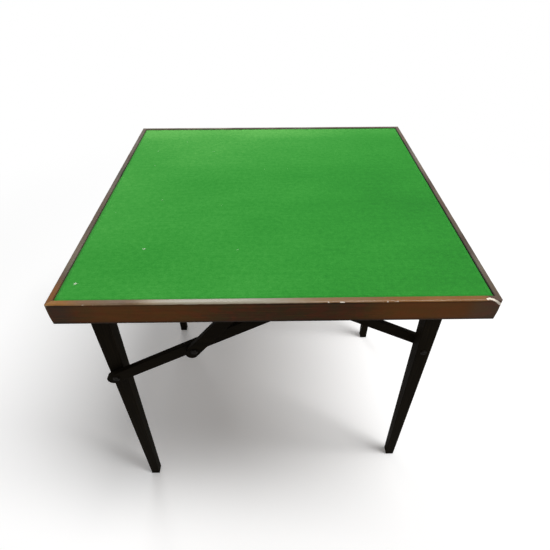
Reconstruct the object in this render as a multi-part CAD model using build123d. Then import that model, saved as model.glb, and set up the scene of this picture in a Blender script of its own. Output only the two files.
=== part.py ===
"""Folding card table: a baize-topped square table whose four wooden legs fold flat.

Frame: +X to the right end, +Y to the back edge, +Z up, origin on the floor under
the middle of the top. All lengths are in millimetres. Each leg swings inwards on a
bolt near the top. A flat strut is riveted to the leg, and a short link joins the
strut to the underside, so that leg, strut, link and table make a four-bar linkage.
"""
from build123d import *
import math
import os

# Overall size
top_width = 690.0
table_height = 686.0

# Moulded rim round the top
rim_depth = 43.0
rim_face_width = 11.0
rim_wall = 15.0
rim_cant = 2.5
rim_corner_radius = 5.0
rim_outer_round = 3.0
rim_inner_round = 1.0
rim_foot_round = 1.5

# Playing surface
baize_thickness = 1.2
baize_below_rim = 1.5
panel_thickness = 6.0
panel_edge_gap = 0.4

# Legs
leg_square = 34.0
foot_square = 20.0
leg_pivot_inset = 33.0
leg_pivot_depth = 29.0
leg_edge_round = 1.2
foot_chamfer = 1.5
left_leg_set_in = 90.5
right_leg_set_in = 134.0

# Folding linkage
fold_angle = 87.5
strut_drop = 231.0
knee_reach = 189.0
strut_reach = 362.0
left_strut_angle = 28.8
right_strut_angle = 26.7
link_pivot_depth = 48.0
bar_width = 23.0
bar_thickness = 11.0
bar_overhang = 21.0
bar_edge_round = 0.8

# Clearances
running_gap = 0.06
side_gap = 0.6
fixing_gap = 0.1
overrun = 5.0

# Timber under the top
block_width = 34.0
block_depth = 29.0
cheek_thickness = 11.0
bearer_thickness = 17.0
bearer_depth = 29.0
hanger_depth = 52.0
hanger_length = 64.0
hanger_shoulder = 40.0
timber_edge_round = 1.0

# Leg pivot bolts
leg_bolt_diameter = 8.0
leg_bolt_head_width = 13.0
leg_bolt_head_height = 5.0
leg_bolt_bite = 25.0
leg_washer_diameter = 20.0
leg_washer_thickness = 1.5

# Link pivot bolts
link_bolt_diameter = 6.0
link_bolt_head_diameter = 12.0
link_nut_width = 10.0
link_nut_height = 5.0
link_bolt_tail = 2.0
spacer_diameter = 14.0
spacer_thickness = 3.4

# Rivets
rivet_diameter = 6.0
rivet_head_diameter = 13.0
rivet_head_height = 2.4
rivet_head_round = 2.0
rivet_seat_gap = 0.1
strut_washer_diameter = 17.0
strut_washer_thickness = 1.2

# Wood screws in the corner blocks and cheeks
screw_diameter = 4.0
screw_head_diameter = 8.0
screw_bite = 7.5
screw_depth = 8.5
screw_edge_inset = 8.0

# Nails across the rim mitres
nail_diameter = 2.2
nail_head_diameter = 4.0
nail_head_height = 1.2
nail_length = 38.0
nail_depth_shares = (0.36, 0.72)

# Places worked out from the sizes above
half_top = top_width / 2
rim_inner = half_top - rim_wall
rebate_inner = half_top - rim_face_width
baize_top = table_height - baize_below_rim
panel_top = baize_top - baize_thickness
panel_base = panel_top - panel_thickness
rim_base = table_height - rim_depth
block_base = panel_base - block_depth
pivot_x = half_top - leg_pivot_inset
pivot_z = table_height - leg_pivot_depth
strut_pivot_z = pivot_z - strut_drop
link_pivot_z = table_height - link_pivot_depth
leg_half = leg_square / 2
foot_half = foot_square / 2


def leg_half_at(drop):
    """Half the leg's width at a drop below its pivot."""
    return leg_half - (leg_half - foot_half) * drop / pivot_z


class Corner:
    """The places of one leg and its linkage, from its side and its front or back."""

    def __init__(self, name, x_sign, y_sign):
        self.name = name
        self.x_sign = x_sign
        self.y_sign = y_sign
        on_left = x_sign < 0
        self.strut_angle = left_strut_angle if on_left else right_strut_angle
        self.spread = half_top - (left_leg_set_in if on_left else right_leg_set_in)
        self.linkage_side = 1 if on_left else -1
        self.strut_pivot = (-pivot_x, strut_pivot_z)
        self.knee = step_from(self.strut_pivot, knee_reach, math.radians(self.strut_angle))
        self.link_pivot = link_pivot_from(self.knee)
        self.link_angle = math.degrees(angle_between(self.knee, self.link_pivot))
        self.link_reach = math.dist(self.knee, self.link_pivot)

    def out(self, distance):
        """Y of a face that lies a distance from the leg's centre, on the linkage side."""
        return self.y_sign * (self.spread + self.linkage_side * distance)

    def x(self, left_x):
        """X on this corner's side of a place worked out for the left side."""
        return -left_x * self.x_sign


def step_from(start, length, angle):
    """The point a length away from a start, at an angle from +X in the XZ plane."""
    return (start[0] + length * math.cos(angle), start[1] + length * math.sin(angle))


def angle_between(start, end):
    """Angle from +X of the line from start to end in the XZ plane."""
    return math.atan2(end[1] - start[1], end[0] - start[0])


def link_pivot_from(knee):
    """Where the link meets the table: as far from the knee folded as from the knee open."""
    fold = math.radians(fold_angle)
    folded_strut_pivot = step_from((-pivot_x, pivot_z), strut_drop, fold - math.pi / 2)
    folded_knee = step_from(folded_strut_pivot, knee_reach, fold - math.pi / 2)
    middle = ((knee[0] + folded_knee[0]) / 2, (knee[1] + folded_knee[1]) / 2)
    across = (folded_knee[0] - knee[0], folded_knee[1] - knee[1])
    rise = link_pivot_z - middle[1]
    return (middle[0] - rise * across[1] / across[0], link_pivot_z)


corners = [
    Corner("front_left", -1, -1),
    Corner("back_left", -1, 1),
    Corner("front_right", 1, -1),
    Corner("back_right", 1, 1),
]

# Faces of the linkage, outwards from the centre of the leg
strut_inner = leg_half_at(strut_drop) + strut_washer_thickness + side_gap
strut_outer = strut_inner + bar_thickness
link_inner = strut_outer + side_gap
link_outer = link_inner + bar_thickness
carrier_inner = link_outer + spacer_thickness
carrier_outer = carrier_inner + bearer_thickness

pieces = {}


def along_y(shape):
    """Turn a shape that was made along Z so that it points along +Y."""
    return Rot(-90, 0, 0) * shape


def rod(radius, y_start, y_end, x, z):
    """A round rod along Y between two faces."""
    middle = (y_start + y_end) / 2
    return Pos(x, middle, z) * along_y(Cylinder(radius, abs(y_end - y_start)))


def hexagon(across_flats, y_start, y_end, x, z):
    """A hexagonal prism along Y between two faces."""
    outline = RegularPolygon(across_flats / 2, 6, major_radius=False)
    prism = extrude(outline, abs(y_end - y_start))
    return Pos(x, min(y_start, y_end), z) * along_y(prism)


def domed_head(y_start, direction, x, z):
    """A low rivet head that stands on a face and rounds away from it."""
    head = Cylinder(rivet_head_diameter / 2, rivet_head_height)
    crown = head.edges().sort_by(Axis.Z)[-1]
    head = fillet(crown, rivet_head_round)
    head = Pos(0, 0, rivet_head_height / 2) * head
    turned = along_y(head) if direction > 0 else Rot(90, 0, 0) * head
    return Pos(x, y_start, z) * turned


def timber(x_low, x_high, y_low, y_high, z_low, z_high):
    """A squared timber between six faces, with its lower long edges eased."""
    size = (x_high - x_low, y_high - y_low, z_high - z_low)
    middle = Pos((x_low + x_high) / 2, (y_low + y_high) / 2, (z_low + z_high) / 2)
    block = Box(*size)
    lower = block.faces().sort_by(Axis.Z)[0].edges()
    return middle * fillet(lower, timber_edge_round)


def ordered(first, second):
    """Two values with the lower one first."""
    return (min(first, second), max(first, second))


def rim_profile():
    """Section of the rim: distance outwards from the middle, and height."""
    points = [
        (half_top, table_height),
        (half_top - rim_cant, rim_base),
        (rim_inner, rim_base),
        (rim_inner, panel_base),
        (rebate_inner, panel_base),
        (rebate_inner, table_height),
    ]
    section = make_face(Polyline(*points, close=True))
    rounds = [
        (points[0], rim_outer_round),
        (points[5], rim_inner_round),
        (points[1], rim_foot_round),
        (points[2], rim_inner_round),
    ]
    for point, radius in rounds:
        corner = section.vertices().sort_by_distance((point[0], point[1], 0))[0]
        section = fillet(corner, radius)
    return section


def make_rims():
    """Four rim rails, mitred at the corners and rounded in plan."""
    section = Plane.XZ * rim_profile()
    rail = extrude(section, top_width, both=True)
    wedge_points = [(0, 0), (top_width, -top_width), (top_width, top_width)]
    wedge = extrude(make_face(Polyline(*wedge_points, close=True)), table_height + overrun)
    plan = RectangleRounded(top_width, top_width, rim_corner_radius)
    outline = extrude(plan, table_height + overrun)
    right = rail & wedge & outline
    turns = {"right": 0, "back": 90, "left": 180, "front": 270}
    for side, turn in turns.items():
        pieces["rim_" + side] = Rot(0, 0, turn) * right


def make_top():
    """The plywood panel in the rim's rebate, and the baize glued to it."""
    side = 2 * (rebate_inner - panel_edge_gap)
    panel = Box(side, side, panel_thickness)
    pieces["top_panel"] = Pos(0, 0, panel_top - panel_thickness / 2) * panel
    cloth = Box(side, side, baize_thickness)
    pieces["baize"] = Pos(0, 0, baize_top - baize_thickness / 2) * cloth


def make_nails():
    """Nails driven through the end rims into the ends of the front and back rims."""
    nails = []
    place = half_top - rim_wall / 2
    for depth_share in nail_depth_shares:
        depth = rim_depth * depth_share
        face = half_top - rim_cant * depth_share
        head_face = face - nail_head_height
        z = table_height - depth
        for x_sign in (-1, 1):
            for y_sign in (-1, 1):
                turned = Rot(0, 90, 0) if x_sign > 0 else Rot(0, -90, 0)
                shank_middle = x_sign * (head_face - nail_length / 2)
                shank = Cylinder(nail_diameter / 2, nail_length)
                head = Cylinder(nail_head_diameter / 2, nail_head_height)
                head_middle = x_sign * (head_face - nail_head_height / 2)
                nail = Pos(shank_middle, y_sign * place, z) * (turned * shank)
                nail += Pos(head_middle, y_sign * place, z) * (turned * head)
                nails.append(nail)
                hole = Cylinder(nail_diameter / 2 + fixing_gap, nail_length + fixing_gap * 2)
                sink_length = rim_cant + nail_head_height * 2
                sink = Cylinder(nail_head_diameter / 2 + fixing_gap, sink_length)
                sink_middle = head_face - nail_head_height + sink_length / 2 - fixing_gap
                cutter = Pos(shank_middle, y_sign * place, z) * (turned * hole)
                cutter += Pos(x_sign * sink_middle, y_sign * place, z) * (turned * sink)
                end = "right" if x_sign > 0 else "left"
                side = "back" if y_sign > 0 else "front"
                for rim in ("rim_" + end, "rim_" + side):
                    pieces[rim] = pieces[rim] - cutter
    pieces["rim_nails"] = Compound(children=nails)


def wood_screw(corner, y, screws):
    """One screw along X from a block's inner face into the end rim, and its cutter."""
    z = panel_base - screw_depth
    head_x = rim_inner - block_width
    tip_x = rim_inner + screw_bite
    length = tip_x - head_x
    cone_height = (screw_head_diameter - screw_diameter) / 2
    shank = Pos(0, 0, length / 2) * Cylinder(screw_diameter / 2, length)
    cone_place = Pos(0, 0, cone_height / 2)
    screw = shank + cone_place * Cone(screw_head_diameter / 2, screw_diameter / 2, cone_height)
    hole_radius = screw_diameter / 2 + fixing_gap
    hole_length = length + fixing_gap * 2
    hole = Pos(0, 0, length / 2) * Cylinder(hole_radius, hole_length)
    sink_radius = screw_head_diameter / 2 + fixing_gap
    sink_place = Pos(0, 0, cone_height / 2)
    hole += sink_place * Cone(sink_radius, hole_radius, cone_height)
    turn = Rot(0, 90, 0) if corner.x_sign > 0 else Rot(0, -90, 0)
    place = Pos(corner.x_sign * head_x, y, z)
    screws.append(place * (turn * screw))
    return place * (turn * hole)


def make_corner_timbers():
    """The block outside each leg and the cheek inside it, with their screws."""
    screws = []
    leg_gap = leg_half + side_gap
    for corner in corners:
        x_low, x_high = ordered(
            corner.x_sign * (rim_inner - block_width), corner.x_sign * rim_inner
        )
        block_near = corner.y_sign * (corner.spread + leg_gap)
        y_low, y_high = ordered(block_near, corner.y_sign * rim_inner)
        block = timber(x_low, x_high, y_low, y_high, block_base, panel_base)
        cheek_near = corner.y_sign * (corner.spread - leg_gap)
        cheek_far = corner.y_sign * (corner.spread - leg_gap - cheek_thickness)
        y_low, y_high = ordered(cheek_near, cheek_far)
        cheek = timber(x_low, x_high, y_low, y_high, block_base, panel_base)
        x = corner.x_sign * pivot_x
        bore = leg_bolt_diameter / 2 + fixing_gap
        block_bore_end = block_near + corner.y_sign * (leg_bolt_bite + fixing_gap)
        block -= rod(bore, block_near, block_bore_end, x, pivot_z)
        cheek -= rod(bore, cheek_near, cheek_far, x, pivot_z)
        timbers = {"block": block, "cheek": cheek}
        screw_places = [
            ("block", block_near + corner.y_sign * screw_edge_inset),
            ("block", corner.y_sign * (rim_inner - screw_edge_inset)),
            ("cheek", (cheek_near + cheek_far) / 2),
        ]
        end = "rim_right" if corner.x_sign > 0 else "rim_left"
        for kind, y in screw_places:
            cutter = wood_screw(corner, y, screws)
            pieces[end] = pieces[end] - cutter
            timbers[kind] -= cutter
        for kind, shape in timbers.items():
            pieces[kind + "_" + corner.name] = shape
    pieces["block_screws"] = Compound(children=screws)


def carrier_outline(x_low, x_high, hanger_x):
    """A rail seen from the front: shallow, with a deeper hanger at the link pivot."""
    shallow = panel_base - bearer_depth
    deep = panel_base - hanger_depth
    half_flat = hanger_length / 2
    half_wide = half_flat + hanger_shoulder
    points = [
        (x_low, panel_base),
        (x_high, panel_base),
        (x_high, shallow),
        (hanger_x + half_wide, shallow),
        (hanger_x + half_flat, deep),
        (hanger_x - half_flat, deep),
        (hanger_x - half_wide, shallow),
        (x_low, shallow),
    ]
    return make_face(Polyline(*points, close=True))


def make_carriers():
    """Outer bearers that carry the left links, and inner rails that carry the right links."""
    block_face = rim_inner - block_width
    for corner in corners:
        on_left = corner.x_sign < 0
        half_length = block_face if on_left else rim_inner
        hanger_x = corner.x(corner.link_pivot[0])
        outline = carrier_outline(-half_length, half_length, hanger_x)
        near = corner.out(carrier_inner)
        far = corner.out(carrier_outer)
        bar = extrude(Plane.XZ * outline, abs(far - near))
        bar = Pos(0, max(near, far), 0) * bar
        hole = link_bolt_diameter / 2 + fixing_gap
        bar -= rod(hole, near, far, hanger_x, link_pivot_z)
        side = "front" if corner.y_sign < 0 else "back"
        kind = "bearer_" if on_left else "inner_rail_"
        pieces[kind + side] = bar


def make_leg(corner):
    """A square leg that tapers to the foot, with a round top and two pivot holes."""
    x = corner.x_sign * pivot_x
    y = corner.y_sign * corner.spread
    side_points = [(-foot_half, 0), (foot_half, 0), (leg_half, pivot_z), (-leg_half, pivot_z)]
    side = make_face(Polyline(*side_points, close=True))
    side += Pos(0, pivot_z) * Circle(leg_half)
    front_points = [
        (-foot_half, 0),
        (foot_half, 0),
        (leg_half, pivot_z),
        (leg_half, pivot_z + leg_half),
        (-leg_half, pivot_z + leg_half),
        (-leg_half, pivot_z),
    ]
    front = make_face(Polyline(*front_points, close=True))
    leg = extrude(Plane.XZ * side, leg_square, both=True)
    leg &= extrude(Plane.YZ * front, leg_square, both=True)
    foot_edges = leg.faces().sort_by(Axis.Z)[0].edges()
    leg = chamfer(foot_edges, foot_chamfer)
    upright = [edge for edge in leg.edges() if edge.length > pivot_z / 2]
    leg = fillet(upright, leg_edge_round)
    leg = Pos(x, y, 0) * leg
    leg -= rod(leg_bolt_diameter / 2 + running_gap, y - leg_square, y + leg_square, x, pivot_z)
    hole = rivet_diameter / 2 + fixing_gap
    leg -= rod(hole, y - leg_square, y + leg_square, x, strut_pivot_z)
    pieces["leg_" + corner.name] = leg


def flat_bar(corner, start, angle, reach, end_overhang, y_near, y_far):
    """A flat bar with round ends from one pivot past another, in the left side's frame."""
    length = bar_overhang + reach + end_overhang
    blank = SlotOverall(length, bar_width)
    middle = length / 2 - bar_overhang
    solid = extrude(Plane.XZ * (Pos(middle, 0) * blank), bar_thickness / 2, both=True)
    solid = fillet(solid.faces().filter_by(Axis.Y).edges(), bar_edge_round)
    turned = Rot(0, -angle, 0) * solid
    placed = Pos(start[0], (y_near + y_far) / 2, start[1]) * turned
    return placed if corner.x_sign < 0 else mirror(placed, Plane.YZ)


def make_strut(corner):
    """The long strut, its rivet through the leg and the tail of the knee rivet."""
    near = corner.out(strut_inner)
    far = corner.out(strut_outer)
    end = bar_width / 2
    bar = flat_bar(corner, corner.strut_pivot, corner.strut_angle, strut_reach, end, near, far)
    x = corner.x(corner.strut_pivot[0])
    knee_x = corner.x(corner.knee[0])
    knee_z = corner.knee[1]
    radius = rivet_diameter / 2
    bar -= rod(radius + running_gap, near, far, x, strut_pivot_z)
    bar -= rod(radius + fixing_gap, near, far, knee_x, knee_z)
    pieces["strut_" + corner.name] = bar

    outwards = corner.y_sign * corner.linkage_side
    leg_face = corner.out(-leg_half_at(strut_drop) - rivet_seat_gap)
    rivet = rod(radius, leg_face, far, x, strut_pivot_z)
    rivet += domed_head(far, outwards, x, strut_pivot_z)
    rivet += domed_head(leg_face, -outwards, x, strut_pivot_z)
    pieces["strut_rivet_" + corner.name] = rivet

    washer_start = corner.out(strut_inner - side_gap / 2 - strut_washer_thickness)
    washer_end = corner.out(strut_inner - side_gap / 2)
    washer = rod(strut_washer_diameter / 2, washer_start, washer_end, x, strut_pivot_z)
    washer -= rod(radius + fixing_gap, washer_start, washer_end, x, strut_pivot_z)
    pieces["strut_washer_" + corner.name] = washer

    tail = rod(radius, near, far, knee_x, knee_z)
    tail += domed_head(near, -outwards, knee_x, knee_z)
    pieces["knee_rivet_tail_" + corner.name] = tail


def make_link(corner):
    """The short link and the head half of the knee rivet that it carries."""
    near = corner.out(link_inner)
    far = corner.out(link_outer)
    knee = corner.knee
    pivot = corner.link_pivot
    angle = corner.link_angle
    bar = flat_bar(corner, knee, angle, corner.link_reach, bar_overhang, near, far)
    knee_x = corner.x(knee[0])
    pivot_place = corner.x(pivot[0])
    radius = rivet_diameter / 2
    bar -= rod(radius + fixing_gap, near, far, knee_x, knee[1])
    bar -= rod(link_bolt_diameter / 2 + running_gap, near, far, pivot_place, pivot[1])
    outwards = corner.y_sign * corner.linkage_side
    bar -= bolt_cone(corner, link_bolt_head_diameter / 2 + side_gap, side_gap, outwards)
    pieces["link_" + corner.name] = bar

    rivet = rod(radius, near, far, knee_x, knee[1])
    rivet += domed_head(far, outwards, knee_x, knee[1])
    pieces["knee_rivet_head_" + corner.name] = rivet


def bolt_cone(corner, head_radius, allowance, outwards):
    """The countersunk cone of a link bolt, or with an allowance the sink that it lies in."""
    neck = link_bolt_diameter / 2 + allowance
    height = head_radius - neck
    cone = Cone(head_radius, neck, height)
    turned = along_y(cone) if outwards > 0 else Rot(90, 0, 0) * cone
    y = corner.out(link_inner) + outwards * height / 2
    return Pos(corner.x(corner.link_pivot[0]), y, corner.link_pivot[1]) * turned


def make_link_bolts():
    """Countersunk bolts, spacers and nuts that hang the links on the carriers."""
    bolts = []
    spacers = []
    nuts = []
    radius = link_bolt_diameter / 2
    for corner in corners:
        x = corner.x(corner.link_pivot[0])
        z = corner.link_pivot[1]
        outwards = corner.y_sign * corner.linkage_side
        start = corner.out(link_inner)
        nut_face = corner.out(carrier_outer)
        nut_end = corner.out(carrier_outer + link_nut_height)
        end = corner.out(carrier_outer + link_nut_height + link_bolt_tail)
        bolt = rod(radius, start, end, x, z)
        bolt += bolt_cone(corner, link_bolt_head_diameter / 2, 0, outwards)
        bolts.append(bolt)
        spacer_start = corner.out(link_outer + side_gap / 2)
        spacer = rod(spacer_diameter / 2, spacer_start, corner.out(carrier_inner), x, z)
        spacer -= rod(radius + fixing_gap, spacer_start, corner.out(carrier_inner), x, z)
        spacers.append(spacer)
        nut = hexagon(link_nut_width, nut_face, nut_end, x, z)
        nuts.append(nut - rod(radius + fixing_gap, nut_face, nut_end, x, z))
    pieces["link_bolts"] = Compound(children=bolts)
    pieces["link_spacers"] = Compound(children=spacers)
    pieces["link_nuts"] = Compound(children=nuts)


def make_leg_bolts():
    """Bolts that the legs swing on, from the cheek through the leg into the block."""
    bolts = []
    washers = []
    radius = leg_bolt_diameter / 2
    leg_gap = leg_half + side_gap
    for corner in corners:
        x = corner.x_sign * pivot_x
        cheek_face = corner.spread - leg_gap - cheek_thickness
        head_face = corner.y_sign * (cheek_face - leg_washer_thickness)
        head_end = head_face - corner.y_sign * leg_bolt_head_height
        tip = corner.y_sign * (corner.spread + leg_gap + leg_bolt_bite)
        bolt = rod(radius, head_face, tip, x, pivot_z)
        bolts.append(bolt + hexagon(leg_bolt_head_width, head_face, head_end, x, pivot_z))
        washer_end = corner.y_sign * cheek_face
        washer = rod(leg_washer_diameter / 2, head_face, washer_end, x, pivot_z)
        washers.append(washer - rod(radius + fixing_gap, head_face, washer_end, x, pivot_z))
    pieces["leg_bolts"] = Compound(children=bolts)
    pieces["leg_bolt_washers"] = Compound(children=washers)


def build():
    """Make every piece."""
    make_rims()
    make_top()
    make_corner_timbers()
    make_nails()
    make_carriers()
    for corner in corners:
        make_leg(corner)
        make_strut(corner)
        make_link(corner)
    make_link_bolts()
    make_leg_bolts()


def write():
    """Write one STEP file for each piece, and print the pivots of each linkage."""
    os.makedirs("parts", exist_ok=True)
    for name, shape in pieces.items():
        export_step(shape, os.path.join("parts", name + ".step"))
    for corner in corners:
        print(
            corner.name,
            "knee", [round(value, 3) for value in corner.knee],
            "link pivot", [round(value, 3) for value in corner.link_pivot],
            "link reach", round(corner.link_reach, 3),
            "link angle", round(corner.link_angle, 3),
        )


build()
write()
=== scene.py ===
"""Looks of a folding card table: green baize in a worn walnut-stained rim, on dark tapered legs.

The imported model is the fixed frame. This script dresses its pieces, puts a rubbed and
chipped rim and a felted cloth in place of the plain ones, and sets up floor, lamps and camera.
Lengths are in metres unless a docstring says otherwise.
"""

import logging
import math
import random
from dataclasses import dataclass, field
from enum import Enum
from typing import Sequence

import bpy
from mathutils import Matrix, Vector, noise


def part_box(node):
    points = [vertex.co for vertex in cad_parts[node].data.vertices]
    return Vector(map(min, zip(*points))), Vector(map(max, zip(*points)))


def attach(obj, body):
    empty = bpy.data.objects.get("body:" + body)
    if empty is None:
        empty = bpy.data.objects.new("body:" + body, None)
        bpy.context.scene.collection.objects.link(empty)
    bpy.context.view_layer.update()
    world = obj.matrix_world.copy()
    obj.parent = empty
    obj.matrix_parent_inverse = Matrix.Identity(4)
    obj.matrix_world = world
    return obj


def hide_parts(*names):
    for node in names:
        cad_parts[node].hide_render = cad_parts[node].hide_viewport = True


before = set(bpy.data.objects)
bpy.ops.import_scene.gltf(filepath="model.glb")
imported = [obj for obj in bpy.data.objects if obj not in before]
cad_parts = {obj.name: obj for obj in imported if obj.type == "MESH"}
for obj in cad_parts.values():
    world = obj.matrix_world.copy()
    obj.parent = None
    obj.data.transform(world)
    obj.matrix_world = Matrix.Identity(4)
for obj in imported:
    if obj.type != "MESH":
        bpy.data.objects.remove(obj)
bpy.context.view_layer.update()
MM = 0.001
SQUARE = ((-1, -1), (1, -1), (1, 1), (-1, 1))  # its corners from its middle, in half widths
TOP_BODY = "table_top"

log = logging.getLogger("card_table")

Tree = bpy.types.NodeTree
Node = bpy.types.Node
Socket = bpy.types.NodeSocket
Material = bpy.types.Material
Piece = bpy.types.Object
Colour = tuple[float, float, float, float]
Feed = Node | Socket | float | str
Parts = Sequence[tuple[Feed, Feed]]
Stops = Sequence[tuple[float, str]]
Span = tuple[float, float]
Spot = tuple[float, float, float]
WHITE = "FFFFFF"


class Grain(Enum):
    """The axis of the table that the wood grain of a piece runs along."""

    X = 0
    Y = 1
    Z = 2


class Side(Enum):
    """A side of the table, by its quarter turns from the front, anticlockwise from above."""

    FRONT = 0
    RIGHT = 1
    BACK = 2
    LEFT = 3


class Mark(Enum):
    """A kind of wear, some kinds with painted light and shade as well, that a mesh carries to its finish,
    by the attribute's name.
    """

    RUB = "rub"
    CHIP = "chip"
    # Soiling, and painted shade along some of the rim's edges.
    GRIME = "grime"
    WARM = "warm"
    # Bleaching on the rails, a painted sheen on the front rail's top, and the cloth's painted light and
    # shade.
    FADE = "fade"


def colour(code: str) -> Colour:
    """Turn an sRGB hex colour into the linear colour that the shaders read.

    Args:
        code: six hex digits.

    Returns:
        Red, green, blue and an alpha of one.
    """
    parts = [int(code[start : start + 2], 16) / 255 for start in (0, 2, 4)]
    linear = [p / 12.92 if p <= 0.04045 else ((p + 0.055) / 1.055) ** 2.4 for p in parts]
    return (linear[0], linear[1], linear[2], 1.0)


def add_node(
    tree: Tree, kind: str, inputs: dict | None = None, stops: Stops = (), **settings: object
) -> Node:
    """Add a node to a tree, set it up and link it.

    Args:
        tree: shader or geometry tree.
        kind: Blender's name for the node's type.
        inputs: input name or number to a value, a hex colour, or the socket or node that
            feeds it. A node feeds with its first open output.
        stops: places and hex colours of a ramp.
        settings: the node's own properties.

    Returns:
        The new node.
    """
    made = tree.nodes.new(kind)
    for name, value in settings.items():
        setattr(made, name, value)
    for key, value in (inputs or {}).items():
        end = made.inputs[key]
        if isinstance(value, Node):
            value = next(output for output in value.outputs if output.enabled)
        if isinstance(value, Socket):
            tree.links.new(value, end)
        else:
            end.default_value = colour(value) if end.type == "RGBA" else value
    if stops:
        elements = made.color_ramp.elements
        while len(elements) < len(stops):
            elements.new(0.5)
        for element, (place, code) in zip(elements, stops):
            element.position = place
            element.color = colour(code)
    return made


def weighted_sum(tree: Tree, parts: Parts) -> Feed:
    """Add up patterns, each times its weight.

    Args:
        tree: the material's tree.
        parts: what is added, and its weight.

    Returns:
        The sum.
    """
    total: Feed = 0.0
    for part, weight in parts:
        inputs = {0: part, 1: weight, 2: total}
        total = add_node(tree, "ShaderNodeMath", inputs, operation="MULTIPLY_ADD")
    return total


def risen(tree: Tree, parts: Parts, low: float, high: float, most: float = 1.0) -> Feed:
    """A share that rises softly from 0 to the most while a weighted sum goes from low to high."""
    inputs = {"Value": weighted_sum(tree, parts), "From Min": low, "From Max": high, "To Max": most}
    return add_node(tree, "ShaderNodeMapRange", inputs, interpolation_type="SMOOTHSTEP")


def layered(tree: Tree, base: Feed, layers: Parts) -> Feed:
    """Lay colours over a base one after another, each as strongly as its share says.

    Args:
        tree: the material's tree.
        base: the colour below them all.
        layers: the share from 0 to 1 of each layer, and its colour.

    Returns:
        The colour that shows.
    """
    for share, over in layers:
        # These inputs go by number, because a mix node has several of each name.
        base = add_node(tree, "ShaderNodeMix", {0: share, 6: base, 7: over}, data_type="RGBA")
    return base


def new_material(name: str) -> tuple[Material, Tree]:
    """Make an empty node material.

    Args:
        name: the finish's name.

    Returns:
        The material and its tree.
    """
    material = bpy.data.materials.new(name)
    material.use_nodes = True
    material.node_tree.nodes.clear()
    return material, material.node_tree


@dataclass(frozen=True)
class Figure:
    """One pattern in a finish: cloudy noise whose features have a real width.

    Along one axis they are longer by the stretch. The weight is the pattern's share.
    """

    width: float
    stretch: float = 1.0
    octaves: float = 2.0
    weight: float = 1.0

    def drawn(self, tree: Tree, axis: Grain = Grain.X) -> Node:
        """Add the pattern to a material.

        Args:
            tree: the material's tree.
            axis: the axis that it is stretched along.

        Returns:
            A node that gives values about 0.5.
        """
        place = add_node(tree, "ShaderNodeTexCoord").outputs["Object"]
        scale = Vector([1 / self.stretch if line is axis else 1.0 for line in Grain]) / self.width
        moved = add_node(tree, "ShaderNodeMapping", {"Vector": place, "Scale": scale})
        inputs = {"Vector": moved, "Scale": 1.0, "Detail": self.octaves, "Roughness": 0.55}
        return add_node(tree, "ShaderNodeTexNoise", inputs)


@dataclass(frozen=True)
class Finish:
    """What a surface is made of. Each kind of finish works out what its shader is fed."""

    name: str

    def surface(self, tree: Tree) -> dict[str, Feed]:
        """What the shader is fed, by the names of its inputs."""
        raise NotImplementedError

    def build(self) -> Material:
        """Make the material.

        Returns:
            The finished material.
        """
        material, tree = new_material(self.name)
        shader = add_node(tree, "ShaderNodeBsdfPrincipled", self.surface(tree))
        add_node(tree, "ShaderNodeOutputMaterial", {"Surface": shader})
        return material


@dataclass(frozen=True)
class StainedWood(Finish):
    """Stained hardwood: streaks along the grain, broad blotches, dark pores and a film of varnish.

    Real pores are about 0.1 mm wide, and here they are as coarse as they need to be to show. The
    stains go from the darkest to the lightest.
    """

    grain: Grain
    stains: tuple[str, str, str]
    stops: Spot = (0.3, 0.5, 0.72)
    streaks: Figure = Figure(2.2 * MM, stretch=34.0, octaves=6.0, weight=0.6)
    blotches: Figure = Figure(70 * MM, stretch=3.0, octaves=3.0, weight=0.4)
    pores: Figure = Figure(0.45 * MM, stretch=26.0)
    pore_range: Span = (0.60, 0.72)
    pore_depth: float = 0.45
    roughness: float = 0.42
    specular: float = 0.4
    varnish: float = 0.25
    varnish_roughness: float = 0.24
    bump: float = 0.25
    relief: float = 0.12 * MM

    def surface(self, tree: Tree) -> dict[str, Feed]:
        """Work out stain, gloss and relief from the figure of the wood.

        Args:
            tree: the material's tree.

        Returns:
            The shader's inputs.
        """
        figures = (self.streaks, self.blotches, self.pores)
        streaks, blotches, pores = (figure.drawn(tree, self.grain) for figure in figures)
        tone = weighted_sum(tree, [(streaks, self.streaks.weight), (blotches, self.blotches.weight)])
        stops = tuple(zip(self.stops, self.stains))
        stained = add_node(tree, "ShaderNodeValToRGB", {0: tone}, stops)
        pore_mask = risen(tree, [(pores, 1.0)], *self.pore_range)
        pore_share = weighted_sum(tree, [(pore_mask, self.pore_depth)])
        rough = {"Value": blotches, "From Min": 0.3, "From Max": 0.7}
        rough |= {"To Min": self.roughness - 0.06, "To Max": self.roughness + 0.1}
        height = weighted_sum(tree, [(streaks, 0.3), (pore_mask, -1.0)])
        relief = {"Height": height, "Strength": self.bump, "Distance": self.relief}
        return {
            "Base Color": layered(tree, stained, [(pore_share, self.stains[0])]),
            "Roughness": add_node(tree, "ShaderNodeMapRange", rough),
            "Specular IOR Level": self.specular,
            "Coat Weight": self.varnish,
            "Coat Roughness": self.varnish_roughness,
            "Normal": add_node(tree, "ShaderNodeBump", relief),
        }


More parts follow.
